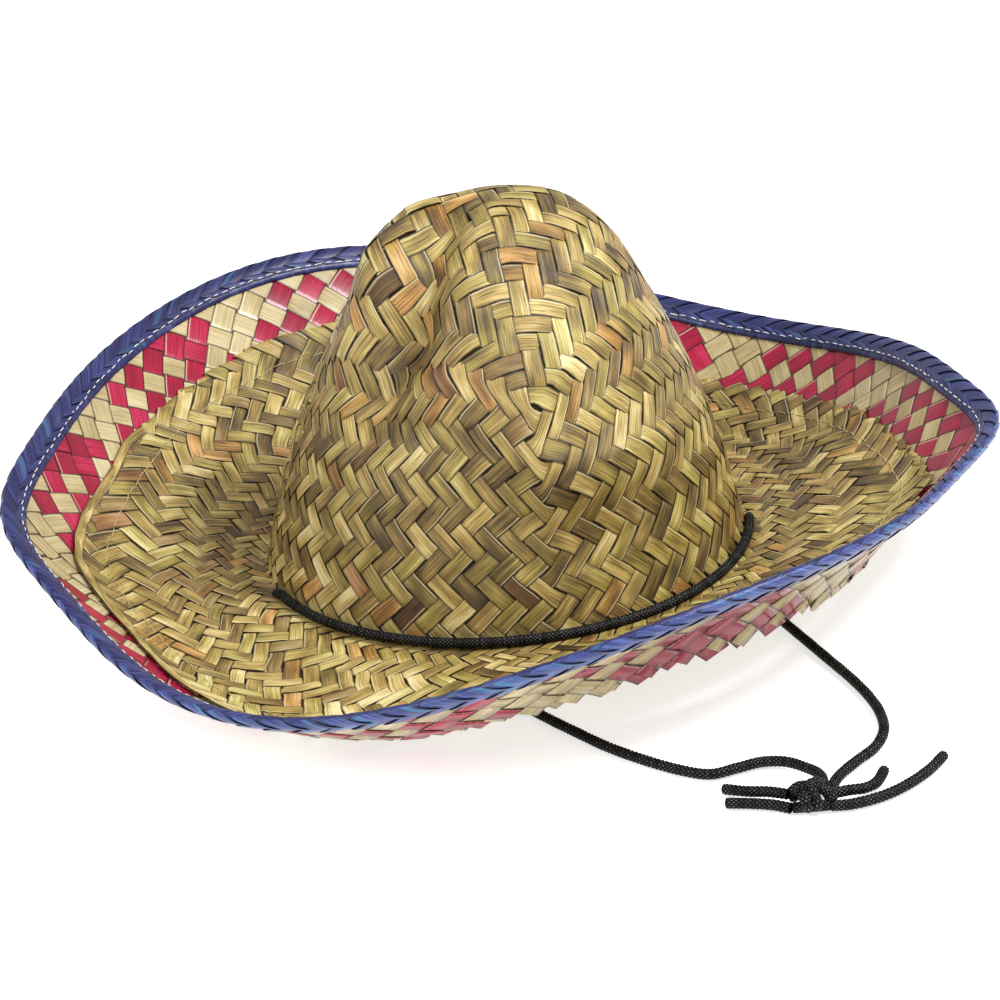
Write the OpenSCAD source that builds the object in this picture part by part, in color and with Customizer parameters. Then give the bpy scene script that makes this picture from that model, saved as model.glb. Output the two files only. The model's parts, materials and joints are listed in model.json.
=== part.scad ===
// Woven straw hat with a check band, a folded edge binding and a knotted chin cord.
// Millimetres, +Z up, front towards -Y, crown opening downwards.
// The origin is the middle of the hat's footprint on the surface that it lies on.

/* [Crown] */
// Inner radius of the crown where it meets the brim
crown_r = 101; // [90:0.5:110]
// Height of the crown above its base
crown_h = 155; // [130:1:175]
// Roundness of the crown's shoulder, as a power of its height
crown_shoulder = 1.18; // [1:0.01:2]
// Bluntness of the crown's top, as a power of its radius
crown_blunt = 0.457; // [0.4:0.001:0.6]
// How far the top of the crown leans to the right
crown_lean_x = 5.5; // [0:0.5:10]
// How far the top of the crown leans to the front
crown_lean_y = 6; // [0:0.5:10]
// Thickness of the woven straw
straw_t = 1.6; // [1:0.1:2.5]
// How far right of the footprint's middle the crown stands
crown_x = 4.7; // [0:0.1:8]
// How far behind the footprint's middle the crown stands
crown_y = 0; // [-3:0.1:3]

/* [Crown dents] */
// Depth of the long valley down the front left of the crown
valley_depth = 12; // [0:0.5:16]
// How far the plait's front corner stands out
nose_height = 6.5; // [0:0.5:8]
// How far the crease to the right of the front corner stands out
crease_height = 4.5; // [0:0.5:6]
// How far the ridge beside the valley stands out
ridge_height = 4.5; // [0:0.5:6]
// How far the shoulder at the left of the top stands out
shoulder_height = 8.5; // [0:0.5:10]

/* [Brim] */
// Mean radius of the rim
rim_r = 204; // [190:1:220]
// How much longer the brim is than it is wide, as a radius
rim_oval = 8.8; // [0:0.2:12]
// Direction of the brim's long axis
rim_oval_dir = 80; // [60:1:120]
// How far the two blunt corners of the rim stand out
corner_out = 12; // [0:0.5:15]
// Mean height of the rim above the crown's base
rim_h = 48; // [40:1:56]
// How far the two raised sides of the rim stand above the mean
rim_wave = 18.5; // [0:0.5:22]
// Direction of the first raised side
rim_wave_dir = -52; // [-90:1:0]
// How far the brim's two low sides dip below the crown's base
brim_dip = 6.3; // [5:0.1:8]
// Height of the turned-up band
band_rise = 28; // [20:1:32]
// How much less the band rises at the front left
band_relax = 9; // [0:0.5:12]

/* [Band and binding] */
// Share of the brim's width where the straw ends and the band shows
straw_end = 0.745; // [0.7:0.005:0.8]
// Share of the brim's width where the band begins under the straw
band_start = 0.63; // [0.58:0.005:0.66]
// Thickness of the check band
band_t = 1.3; // [0.8:0.1:2]
// Thickness of each leg of the edge binding
binding_t = 1.2; // [0.8:0.1:2]
// Width of the binding's upper leg, from the rim inwards
binding_upper = 11; // [8:0.5:14]
// Width of the binding's lower leg, from the rim inwards
binding_lower = 9.5; // [7:0.5:12]
// How far inside the rim the binding is stitched
binding_stitch = 8; // [6:0.5:12]
// Thickness of the sewing threads
thread_d = 0.9; // [0.6:0.1:1.4]

/* [Cord] */
// Diameter of the braided cord
cord_d = 4; // [3:0.5:5]
// How far forward of the hat's sides the two cord holes are, in degrees
hole_forward = 10; // [0:1:20]
// Diameter of each cord hole
hole_d = 4.8; // [4.4:0.1:6]
// Slant of the cord holes, in degrees from upright
hole_slant = 38; // [0:1:45]
// Radius of the knot
knot_r = 7.4; // [6:0.1:9]
// Height of the knot
knot_h = 9; // [8:0.5:11]

/* [Hidden] */

gap = 0.05;                     // clearance between layers that lie on each other
around = 96;                    // stations round the brim
crown_around = 72;              // stations round the crown
crown_rows = 28;                // rows from the crown's top to its base
brim_rows = 14;                 // rows from the crown's base to the straw's edge
band_rows = 5;                  // rows across the check band
thread_sides = 6;
cord_sides = 8;
bend_w = 0.05;                  // how gradually the brim turns up into the band
rim_twist = [1, 22, 3];         // smaller waves of the rim: height, direction, count
rim_ripple = [6, 5, 4];
rim_tilt = [5, 85];             // the rim's lean: height, direction
corner_dirs = [[-20, 11.5], [180, 14]];         // each blunt corner: direction, half width
dip_dirs = [[38, 40], [-142, 35]];              // each low side: direction, half width
relax_dir = [-147, 28];

// Every dent or swelling of the crown: from, to, height, width
dents = [
    [[2, -76, 95], [2, -76, 95], nose_height, 22],
    [[-2, -82, 73], [13, -86, 62], crease_height * 0.7, 14],
    [[13, -86, 62], [49, -72, 62], crease_height, 14],
    [[32, -72, 86], [32, -72, 86], -2, 18],
    [[-24, -20, 147], [-40, -38, 120], -valley_depth, 17],
    [[-40, -38, 120], [-57, -43, 92], -valley_depth, 17],
    [[-2, -28, 152], [-21, -50, 127], ridge_height, 13],
    [[-21, -50, 127], [-33, -61, 99], ridge_height, 13],
    [[-47, -12, 126], [-61, -17, 104], 4, 14],
    [[-29, 4, 144], [-42, 0, 131], shoulder_height, 16],
    [[38, 0, 143], [50, -4, 132], shoulder_height * 0.4, 18]];
dent_centre = [0, 0, 30];       // dents push towards and away from this point
dent_fade = 20;                 // height over which they fade in above the base

function turn(a) = ((a + 180) % 360 + 360) % 360 - 180;
function bump(a, centre, width) = exp(-pow(turn(a - centre) / width, 2));
function unit(v) = v / norm(v);
function wave(a, w) = w[0] * cos(w[2] * (a - w[1]));

// The rim's radius and height in direction a, measured from the crown's base
function rim_radius(a) = rim_r + rim_oval * cos(2 * (a - rim_oval_dir))
    + corner_out * (bump(a, corner_dirs[0][0], corner_dirs[0][1])
                    + bump(a, corner_dirs[1][0], corner_dirs[1][1]));
function rim_height(a) = rim_h + rim_tilt[0] * cos(a - rim_tilt[1])
    + rim_wave * cos(2 * (a - rim_wave_dir)) + wave(a, rim_twist) + wave(a, rim_ripple);

// The brim's shape: u runs from 0 at the crown to 1 at the rim
function past(u) = bend_w * ln(1 + exp((u - straw_end) / bend_w));
function rise(a) = band_rise - band_relax * bump(a, relax_dir[0], relax_dir[1]);
function slope_up(v) = 0.45 * v + 0.55 * v * v;
function dip(a, u) = brim_dip * pow(sin(180 * min(1, u / 0.85)), 2)
    * (bump(a, dip_dirs[0][0], dip_dirs[0][1]) + bump(a, dip_dirs[1][0], dip_dirs[1][1]));
function brim_height(a, u) = rise(a) * past(u) / past(1)
    + (rim_height(a) - rise(a)) * slope_up((u - past(u)) / (1 - past(1))) - dip(a, u);
function brim_point(a, u) = let (r = crown_r + (rim_radius(a) - crown_r) * u)
    [r * cos(a), r * sin(a), brim_height(a, u)];
function brim_normal(a, u) = let (e = 0.002)
    unit(cross(brim_point(a, u + e) - brim_point(a, u - e),
               brim_point(a + 0.1, u) - brim_point(a - 0.1, u)));
function brim_offset(a, u, d) = place(brim_point(a, u) + d * brim_normal(a, u));

// Where the brim is w millimetres inside the rim, measured along its face
function from_rim(a, w) = 1 - 0.1 * w / norm(brim_point(a, 1) - brim_point(a, 0.9));

// The crown's shape: s runs from 0 at the top to 1 at the base
function to_segment(p, a, b) = let (ab = b - a, t = max(0, min(1, (p - a) * ab / (ab * ab + 0.001))))
    norm(p - a - t * ab);
function dent_at(p, d) = d[2] * exp(-pow(to_segment(p, d[0], d[1]) / d[3], 2));
function sum_dents(p, i = 0) = i == len(dents) ? 0 : dent_at(p, dents[i]) + sum_dents(p, i + 1);
function crown_plain(a, s) = let (k = sin(90 * s),
    z = crown_h * pow(max(0, 1 - pow(k, 1 / crown_blunt)), 1 / crown_shoulder))
    [crown_r * k * cos(a) + crown_lean_x * z / crown_h,
     crown_r * k * sin(a) - crown_lean_y * z / crown_h, z];
function crown_point(a, s) = let (p = crown_plain(a, s))
    p + unit(p - dent_centre) * sum_dents(p) * min(1, p[2] / dent_fade);
function crown_normal(a, s) = s < 0.01 ? [0, 0, 1] : let (e = 0.003, t = min(s, 1 - e))
    unit(cross(crown_point(a, t + e) - crown_point(a, t - e),
               crown_point(a + 1, t) - crown_point(a - 1, t)));
function crown_offset(a, s, d) = place(crown_point(a, s) + [0, 0, straw_t + gap]
    + d * (s > 0.97 ? unit([cos(a), sin(a), 0]) : crown_normal(a, s)));

// The lowest point of the brim stands on z = 0
low_points = [for (a = [0:3:357], u = [0:0.05:0.8]) brim_height(a, u)];
stand = -min(low_points) + gap;
function place(p) = p + [crown_x, crown_y, stand];

// A closed shell between two grids of points that go all the way round
function ring_shell(n, m) = [for (i = [0:n - 1], j = [0:m - 1])
    let (i2 = (i + 1) % n, j2 = (j + 1) % m) [i * m + j, i * m + j2, i2 * m + j2, i2 * m + j]];
module ring_of(sections, n, m) {
    polyhedron([for (s = sections) each s], ring_shell(n, m), convexity = 8);
}

// A strip of brim from u0 to u1, between d0 and d1 above the brim's under face
function strip_section(a, u0, u1, d0, d1, rows) = concat(
    [for (k = [0:rows]) brim_offset(a, u0 + (u1 - u0) * k / rows, d0)],
    [for (k = [rows:-1:0]) brim_offset(a, u0 + (u1 - u0) * k / rows, d1)]);
module strip(u0, u1, d0, d1, rows) {
    ring_of([for (i = [0:around - 1]) strip_section(i * 360 / around, u0, u1, d0, d1, rows)],
            around, 2 * (rows + 1));
}

// A thread laid round the brim, w inside the rim or else at u, with its middle d above the under face
module seam_thread(w, u, d) {
    ring_of([for (i = [0:around - 1]) let (a = i * 360 / around, r = thread_d / 2,
                                           at = w > 0 ? from_rim(a, w) : u)
             [for (k = [0:thread_sides - 1]) let (t = -k * 360 / thread_sides)
              brim_offset(a, at + r * cos(t) / (rim_radius(a) - crown_r), d + r * sin(t))]],
            around, thread_sides);
}

// A round tube swept along a list of points
function heading(route, i) = unit(route[min(i + 1, len(route) - 1)] - route[max(i - 1, 0)]);
function cord_ring(p, dir) = let (side = unit(cross(dir, [0, 0, 1])), up = cross(side, dir))
    [for (k = [0:cord_sides - 1]) let (t = 360 * (k + 0.5) / cord_sides)
     p + cord_d / 2 * (cos(t) * side + sin(t) * up)];
module cord(route) {
    n = len(route);
    polyhedron([for (i = [0:n - 1]) each cord_ring(route[i], heading(route, i))],
        concat([[for (k = [0:cord_sides - 1]) k]],
               [for (i = [0:n - 2], k = [0:cord_sides - 1]) let (k2 = (k + 1) % cord_sides)
                [i * cord_sides + k, (i + 1) * cord_sides + k,
                 (i + 1) * cord_sides + k2, i * cord_sides + k2]],
               [[for (k = [cord_sides - 1:-1:0]) (n - 1) * cord_sides + k]]), convexity = 6);
}

// The cord's routes, from the holes in the brim to the knot in front of the hat
hole_left = [-98.2, -18.1, 5.9];
hole_right = [107.6, -18.1, 5.9];
chin_left_route = [hole_left,
    [-98.7, -14.7, 3.1], [-99.2, -10.4, 2.1], [-98, -5, 2.1], [-92, -1, 2.1], [-85, -1, 2.1],
    [-79, -6, 2.1], [-77, -15, 2.1], [-75, -27, 2.1], [-72, -39, 2.1], [-67, -51, 2.1],
    [-60, -62, 2.1], [-52, -74, 2.1], [-44, -86, 2.1], [-37, -98, 2.1], [-31, -111, 2.1],
    [-26, -124, 2.1], [-20, -139, 2.1], [-13, -154, 2.1], [-5, -169, 2.1], [4, -185, 2.1],
    [15, -200, 2.1], [26, -212, 2.1], [35, -218, 2.1], [45, -217, 2.1], [55, -216, 2.3],
    [63, -220, 3], [68, -228, 4], [71, -237, 5.2], [69.6, -246.4, 6]];
chin_right_route = [hole_right,
    [108.2, -14.7, 3.1], [108.6, -10.4, 2.1], [107, -5, 2.1], [102, -1, 2.1], [95, -1, 2.1],
    [90, -6, 2.1], [88, -15, 2.1], [87, -28, 2.1], [87, -42, 2.1], [88, -56, 2.1],
    [89, -70, 2.1], [91, -84, 2.1], [94, -99, 2.1], [97, -115, 2.1], [100, -131, 2.1],
    [103, -147, 2.1], [106, -163, 2.1], [108, -179, 2.1], [108, -194, 2.1], [105, -208, 2.1],
    [98, -219, 2.1], [88, -227, 2.1], [78, -236, 2.1], [70.6, -247.6, 2.1]];
left_upper_route = [[36, -230, 2.2], [43, -237, 3.6], [50, -242, 4.8], [55.8, -247.4, 5.6]];
left_lower_route = [[34, -240, 2.1], [42, -243, 2.1], [50, -247, 2.1], [55.5, -251.6, 2.1]];
right_long_route = [[69.6, -254.7, 2.1], [77, -256, 2.1], [86, -255, 2.1], [95, -252, 2.1],
    [104, -247, 2.1], [112, -241, 2.1], [120, -233, 2.1]];
right_short_route = [[70.8, -251, 4.8], [77, -251, 5], [84, -250, 4.2], [90, -245, 2.8],
    [96, -236, 2.1]];
knot_at = [63, -250.5, 0.1];

// The stretch that the hat holds: over the brim, round the front of the crown
held_r = crown_r + straw_t + cord_d / 2 - 0.1;
held_z = straw_t + cord_d / 2 + 0.1;
dive = [[1.9, -1], [4.3, 0]];           // where it dives to a hole: degrees, height
function held_point(a, z) = place([held_r * cos(a), held_r * sin(a), held_z + z]);
crown_route = concat([hole_left],
    [for (d = dive) held_point(180 + hole_forward + d[0], d[1])],
    [for (a = [200:7:340]) held_point(a, 0.6 * sin(a - 180))],
    [for (i = [1, 0]) held_point(360 - hole_forward - dive[i][0], dive[i][1])],
    [hole_right]);

module crown() color("darkkhaki") {
    n = crown_around;
    m = crown_rows + 1;
    rows = [for (j = [0:crown_rows]) pow(j / crown_rows, 0.9)];
    outer = [for (i = [0:n - 1]) [for (j = [1:m - 1]) crown_offset(i * 360 / n, rows[j], straw_t)]];
    inner = [for (i = [0:n - 1]) [for (j = [m - 1:-1:1]) crown_offset(i * 360 / n, rows[j], 0)]];
    k = 2 * (m - 1);
    points = concat([for (i = [0:n - 1]) each concat(outer[i], inner[i])],
                    [crown_offset(0, 0, straw_t), crown_offset(0, 0, 0)]);
    polyhedron(points, concat(
        [for (i = [0:n - 1], j = [0:k - 2]) let (i2 = (i + 1) % n)
         [i * k + j, i * k + j + 1, i2 * k + j + 1, i2 * k + j]],
        [for (i = [0:n - 1]) [n * k, i * k, ((i + 1) % n) * k]],
        [for (i = [0:n - 1]) [n * k + 1, ((i + 1) % n) * k + k - 1, i * k + k - 1]]), convexity = 8);
}

module brim() color("darkkhaki") difference() {
    strip(0, straw_end, gap, straw_t, brim_rows);
    for (p = [hole_left, hole_right])
        translate(p) rotate([hole_slant, 0, 0]) cylinder(h = 12, d = hole_d, center = true, $fn = 24);
}

module check_band() color("crimson") strip(band_start, 0.992, -band_t, -gap, band_rows);

module edge_binding() color("slateblue") {
    lower = -band_t - gap;
    ring_of([for (i = [0:around - 1]) let (a = i * 360 / around, low = from_rim(a, binding_lower),
                                           up = from_rim(a, binding_upper), near = from_rim(a, 1.8)) [
        brim_offset(a, up, gap), brim_offset(a, 0.996, gap), brim_offset(a, 0.996, lower),
        brim_offset(a, low, lower), brim_offset(a, low, lower - binding_t),
        brim_offset(a, near, lower - binding_t), brim_offset(a, 1.003, -1.6),
        brim_offset(a, 1.006, -0.2), brim_offset(a, near, binding_t),
        brim_offset(a, (up + near) / 2, binding_t), brim_offset(a, up, binding_t)]], around, 11);
}

module band_seam() color("linen") seam_thread(0, 0.645, straw_t + thread_d / 2 + gap);
module binding_seam() color("white") seam_thread(binding_stitch, 1, binding_t + thread_d / 2 + gap);

module crown_cord() color("black") cord(crown_route);
module chin_cord_left() color("black") cord(chin_left_route);
module chin_cord_right() color("black") cord(chin_right_route);
module tail_left_upper() color("black") cord(left_upper_route);
module tail_left_lower() color("black") cord(left_lower_route);
module tail_right_long() color("black") cord(right_long_route);
module tail_right_short() color("black") cord(right_short_route);

module knot() color("black") translate(knot_at) rotate_extrude($fn = 32)
    intersection() {
        union() {
            translate([knot_r - knot_h / 2, knot_h / 2]) circle(d = knot_h, $fn = 32);
            square([knot_r - knot_h / 2, knot_h]);
        }
        square([knot_r, knot_h]);
    }

crown();
brim();
check_band();
edge_binding();
band_seam();
binding_seam();
crown_cord();
chin_cord_left();
chin_cord_right();
knot();
tail_left_upper();
tail_left_lower();
tail_right_long();
tail_right_short();
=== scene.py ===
"""Woven straw hat: plaited straw, check band, plaited edge binding, stitches and the knotted cord.

Lengths are in millimetres until a mesh is made, and directions round the hat are in radians.
"""

import json
import math

import bpy
import numpy as np
from mathutils import Matrix, Vector
from mathutils.bvhtree import BVHTree


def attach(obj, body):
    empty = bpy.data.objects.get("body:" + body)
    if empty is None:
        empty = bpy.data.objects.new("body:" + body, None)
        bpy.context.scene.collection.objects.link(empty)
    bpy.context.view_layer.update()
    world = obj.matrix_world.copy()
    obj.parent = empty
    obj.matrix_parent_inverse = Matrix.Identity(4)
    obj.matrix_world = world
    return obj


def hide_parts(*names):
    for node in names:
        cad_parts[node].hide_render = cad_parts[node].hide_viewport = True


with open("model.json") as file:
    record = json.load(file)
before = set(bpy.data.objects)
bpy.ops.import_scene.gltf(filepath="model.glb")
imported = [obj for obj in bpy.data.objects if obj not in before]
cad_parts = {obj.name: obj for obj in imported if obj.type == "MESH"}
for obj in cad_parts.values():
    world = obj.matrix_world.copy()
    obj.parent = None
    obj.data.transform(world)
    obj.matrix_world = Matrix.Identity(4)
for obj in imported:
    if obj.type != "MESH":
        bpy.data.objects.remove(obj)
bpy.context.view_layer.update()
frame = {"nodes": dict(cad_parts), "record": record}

MM = 0.001
TAU = 2 * math.pi
MOUNT = frame["record"]["mounts"][0]
CENTRE = np.array(MOUNT["pos_m"]) / MM  # middle of the crown's base
BASE_R = MOUNT["dims"]["r_mm"]  # inner radius of the crown at its base
rng = np.random.default_rng(11)


# ---- camera, light and floor
def make_camera():
    """A camera in front of the hat, a little to its left, looking down at the crown's base."""
    azimuth, elevation, roll = (math.radians(d) for d in (-10, 25, 4.9))
    distance, seen = 1.3, 0.43  # metres; size of 1/1000 of the picture there, in mm
    back = Vector((math.sin(azimuth) * math.cos(elevation),
                   -math.cos(azimuth) * math.cos(elevation), math.sin(elevation)))
    level = Vector((math.cos(azimuth), math.sin(azimuth), 0))
    upright = back.cross(level)
    right = math.cos(roll) * level - math.sin(roll) * upright
    up = math.sin(roll) * level + math.cos(roll) * upright
    data = bpy.data.cameras.new("camera")
    data.sensor_width = 36
    data.lens = distance / (seen * MM) * data.sensor_width / 1000
    data.shift_x, data.shift_y = -0.006, 0.040
    data.clip_end = 20
    camera = bpy.data.objects.new("camera", data)
    turned = Matrix((right, up, back)).transposed().to_4x4()
    camera.matrix_world = Matrix.Translation(Vector(CENTRE) * MM + back * distance) @ turned
    bpy.context.scene.collection.objects.link(camera)
    bpy.context.scene.camera = camera


def area_light(name, place, size, power):
    """A square lamp aimed at the hat; its place and size are in metres."""
    data = bpy.data.lights.new(name, "AREA")
    data.size, data.energy = size, power
    lamp = bpy.data.objects.new(name, data)
    lamp.location = place
    lamp.rotation_euler = (Vector((0, 0, 0.06)) - Vector(place)).to_track_quat("-Z", "Y").to_euler()
    bpy.context.scene.collection.objects.link(lamp)


def make_studio():
    """Soft key light from the right and front, a weaker fill, a bright sky and a white floor."""
    area_light("key", (0.75, -0.5, 1.3), 0.4, 24)
    area_light("fill", (-1.0, -0.6, 1.1), 0.6, 9)
    world = bpy.data.worlds.new("studio")
    bpy.context.scene.world = world
    world.use_nodes = True
    sky = world.node_tree.nodes["Background"]
    sky.inputs["Color"].default_value = (1, 1, 1, 1)
    sky.inputs["Strength"].default_value = 0.6
    bpy.ops.mesh.primitive_plane_add(size=12, location=(0, 0, -0.0005))
    floor = bpy.context.active_object
    floor.name = "floor"
    look = Look("floor")
    look.fix(Emission_Color=(1, 1, 1, 1), Emission_Strength=0.68)
    floor.data.materials.append(look.finish((0.7, 0.7, 0.7, 1), 0.9, 0.1))


# ---- meshes
def add_mesh(name, points, faces, material, marks=None):
    """A smooth mesh from points in millimetres; marks are named values, one for each point."""
    mesh = bpy.data.meshes.new(name)
    mesh.from_pydata((np.asarray(points) * MM).tolist(), [], np.asarray(faces).tolist())
    mesh.polygons.foreach_set("use_smooth", np.ones(len(mesh.polygons), bool))
    for label, values in (marks or {}).items():
        mark = mesh.attributes.new(label, "FLOAT", "POINT")
        mark.data.foreach_set("value", np.asarray(values, np.float32).ravel())
    mesh.materials.append(material)
    mesh.update()
    piece = bpy.data.objects.new(name, mesh)
    bpy.context.scene.collection.objects.link(piece)
    return piece


class Bundle:
    """Points, faces and marks that will be one mesh."""

    def __init__(self):
        self.points, self.faces, self.marks, self.count = [], [], {}, 0

    def add(self, points, faces, **marks):
        """Adds points and the faces between them; marks have one value, or one for each point."""
        self.points.append(points)
        self.faces.append(faces + self.count)
        self.count += len(points)
        for label, values in marks.items():
            self.marks.setdefault(label, []).append(np.broadcast_to(values, len(points)))

    def build(self, name, material):
        return add_mesh(name, np.vstack(self.points), np.vstack(self.faces), material,
                        {label: np.concatenate(values) for label, values in self.marks.items()})


def hand_over(piece, slot, *nodes):
    """The piece rides on the hat and stands for CAD nodes; the slot is not used."""
    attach(piece, "root")
    if nodes:
        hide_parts(*nodes)
    return piece


def grid_faces(rows, columns, ring=False, tube=False):
    """Quads over a grid of points; a ring joins its last row to the first, a tube its columns."""
    i, j = np.meshgrid(np.arange(rows - (not ring)), np.arange(columns - (not tube)), indexing="ij")
    i2, j2 = (i + 1) % rows, (j + 1) % columns
    return np.stack([i * columns + j, i * columns + j2, i2 * columns + j2, i2 * columns + j],
                    axis=-1).reshape(-1, 4)


def unit(v):
    """Each vector at length 1."""
    return v / np.maximum(np.linalg.norm(v, axis=-1, keepdims=True), 1e-9)


def smooth_step(x):
    """Rises gently from 0 to 1 while x does."""
    x = np.clip(x, 0, 1)
    return x * x * (3 - 2 * x)


def blur(values, times, axis=0):
    """Each value moves towards its two neighbours; the ends stay."""
    values = np.moveaxis(np.array(values, float), axis, 0)
    for _ in range(times):
        values[1:-1] = (values[:-2] + 2 * values[1:-1] + values[2:]) / 4
    return np.moveaxis(values, 0, axis)


def distances(line):
    """How far along a line of points each of them is."""
    return np.append(0, np.cumsum(np.linalg.norm(np.diff(line, axis=0), axis=1)))


def sampled(line, far, want):
    """A line's points at wanted distances, from the distances of its own points."""
    return np.stack([np.interp(want, far, values) for values in line.T], axis=1)


# ---- cords
def smooth_route(route, step):
    """Points every step along a smooth curve through a route."""
    p = np.asarray(route, float)
    p = np.vstack([2 * p[0] - p[1], p, 2 * p[-1] - p[-2]])
    t = np.linspace(0, 1, 24, endpoint=False)[:, None]
    parts = [0.5 * (2 * b + (c - a) * t + (2 * a - 5 * b + 4 * c - d) * t ** 2
                    + (3 * b - a - 3 * c + d) * t ** 3) for a, b, c, d in zip(p, p[1:], p[2:], p[3:])]
    line = np.vstack(parts + [p[-2:-1]])
    far = distances(line)
    return sampled(line, far, np.linspace(0, far[-1], max(8, int(far[-1] / step))))


def braid_height(turn, far):
    """How far the braid's strands stand out at a share of a turn and a distance along."""
    strands, pitch = 8, 1.75  # the pitch is in millimetres
    a, b = strands * turn + far / pitch, strands * turn - far / pitch
    ridge_a, ridge_b = np.sin(np.pi * (a % 1)), np.sin(np.pi * (b % 1))
    first = (np.floor(a) + np.floor(b)) % 2 < 1
    return np.where(first, ridge_a * (0.55 + 0.45 * ridge_b), ridge_b * (0.55 + 0.45 * ridge_a))


def add_tube(bundle, route, ends):
    """Adds a braided cord along a route to a bundle; either end may be rounded."""
    line = smooth_route(route, CORD_STEP)
    ahead = unit(np.gradient(line, axis=0))
    side = np.empty_like(line)
    side[0] = unit(np.cross(ahead[0], [0.13, 0.21, 1]))
    for k in range(1, len(line)):
        side[k] = unit(side[k - 1] - ahead[k] * (side[k - 1] @ ahead[k]))
    up = np.cross(side, ahead)
    far, radius, around = distances(line), CORD_D / 2, 32
    turn = np.arange(around) / around
    size = radius * (0.78 + 0.31 * braid_height(turn[None], far[:, None]))
    for closed, depth in zip(ends, (far, far[-1] - far)):
        if closed:
            size *= np.sqrt(np.clip(1 - (1 - np.clip(depth / 1.1, 0.0, 1)) ** 2, 0.01, 1))[:, None]
    points = (line[:, None] + size[..., None] * (np.cos(TAU * turn)[None, :, None] * side[:, None]
                                                 + np.sin(TAU * turn)[None, :, None] * up[:, None]))
    bundle.add(points.reshape(-1, 3), grid_faces(len(line), around, tube=True),
               along=np.repeat(far, around), height=((size / radius - 0.80) / 0.27).ravel())
    return line


def braid(name, routes, material, ends=(1, 1)):
    """One piece made of braided cords, and the last cord's middle line."""
    bundle = Bundle()
    for route in routes:
        line = add_tube(bundle, route, ends)
    return bundle.build(name, material), line


CORD_D, LIES = 4.0, 2.1  # the cord's thickness; how high its middle lies on the floor
CORD_STEP = 0.36  # from one ring of points of the cord to the next


def laid(*flat):
    """Points of a route where the cord lies on the floor."""
    return [[x, y, LIES] for x, y in flat]


HOLE_LEFT, HOLE_RIGHT = [-98.2, -18.1, 5.9], [107.6, -18.1, 5.9]
CHIN_LEFT = [HOLE_LEFT, [-98.7, -14.7, 3.1],
    *laid((-99.2, -10.4), (-98, -5), (-92, -1), (-85, -1), (-79, -6), (-77, -15), (-75, -27),
          (-72, -39), (-67, -51), (-60, -62), (-52, -74), (-44, -86), (-37, -98), (-31, -111),
          (-26, -124), (-20, -139), (-13, -154), (-5, -169), (4, -185), (15, -200), (26, -212),
          (35, -218), (45, -217)),
    [55, -216, 2.3], [63, -220, 3], [68, -228, 4], [71, -237, 5.2], [69.6, -246.4, 6]]
CHIN_RIGHT = [HOLE_RIGHT, [108.2, -14.7, 3.1],
    *laid((108.6, -10.4), (107, -5), (102, -1), (95, -1), (90, -6), (88, -15), (87, -28),
          (87, -42), (88, -56), (89, -70), (91, -84), (94, -99), (97, -115), (100, -131),
          (103, -147), (106, -163), (108, -179), (108, -194), (105, -208), (98, -219),
          (88, -227), (78, -236), (70.6, -247.6))]
LEFT_UPPER = [[36, -230, 2.2], [43, -237, 3.6], [50, -242, 4.8], [55.8, -247.4, 5.6]]
LEFT_LOWER = laid((34, -240), (42, -243), (50, -247), (55.5, -251.6))
RIGHT_LONG = laid((69.6, -254.7), (77, -256), (86, -255), (95, -252), (104, -247), (112, -241),
                  (120, -233))
RIGHT_SHORT = [[70.8, -251, 4.8], [77, -251, 5], [84, -250, 4.2], [90, -245, 2.8], [96, -236, LIES]]
KNOT = np.array([63, -250.5, 4.7])


def knot_routes():
    """Two tight turns round the strands, and the strands that cross over and through them."""
    turns = np.linspace(-0.3, 4.3, 70) * math.pi
    wound = KNOT + np.stack([-4.4 + 7.6 * turns / (4 * math.pi), 5.2 * np.cos(turns),
                             2.75 * np.sin(turns)], axis=1)
    over = KNOT + np.array([[-6.2, 3.4, 1.2], [-3, 2.4, 3.6], [2, 0.6, 3.4], [6.4, -1.5, 1.6],
                            [7.8, -3.8, -1.6]])
    gather = KNOT + np.array([[7.6, 3.4, 1.2], [5.2, 4.6, 2.4], [2.4, 4.2, 3.0], [-0.8, 2.4, 2.8]])
    through = KNOT + np.array([[-7.4, -1.2, -2.4], [0, -2.4, -2.6], [7.2, -3.6, -2.6]])
    return [wound, over, gather, through]


def held_route():
    """The stretch over the brim, round the front of the crown, between the two holes."""
    def point(degrees, rise):
        a = math.radians(degrees)
        return [CENTRE[0] + 104.6 * math.cos(a), CENTRE[1] + 104.6 * math.sin(a), CENTRE[2] + 3.8 + rise]
    middle = [point(a, 0.6 * math.sin(math.radians(a - 180))) for a in range(200, 341, 7)]
    return ([HOLE_LEFT, point(191.9, -1), point(194.3, 0)] + middle
            + [point(345.7, 0), point(348.1, -1), HOLE_RIGHT])


def make_cords(material):
    """The knotted chin cord in front of the hat, and the stretch round the crown."""
    beyond = [hand_over(braid("knot_turns", knot_routes(), material)[0], "cord", "knot")]
    for name, route, ends in (("tail_left_upper", LEFT_UPPER, (1, 0)),
                              ("tail_left_lower", LEFT_LOWER, (1, 0)),
                              ("tail_right_long", RIGHT_LONG, (0, 1)),
                              ("tail_right_short", RIGHT_SHORT, (0, 1))):
        beyond.append(hand_over(braid(name + "_braid", [route], material, ends)[0], "cord", name))
    for name, route, pieces in (("chin_cord_left", CHIN_LEFT, beyond),
                                ("chin_cord_right", CHIN_RIGHT, [])):
        cord, line = braid(name + "_braid", [route], material, (0, 0))
        hand_over(cord, "cord", name)
    hand_over(braid("crown_cord_braid", [held_route()], material, (0, 0))[0], "cord", "crown_cord")


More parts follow.
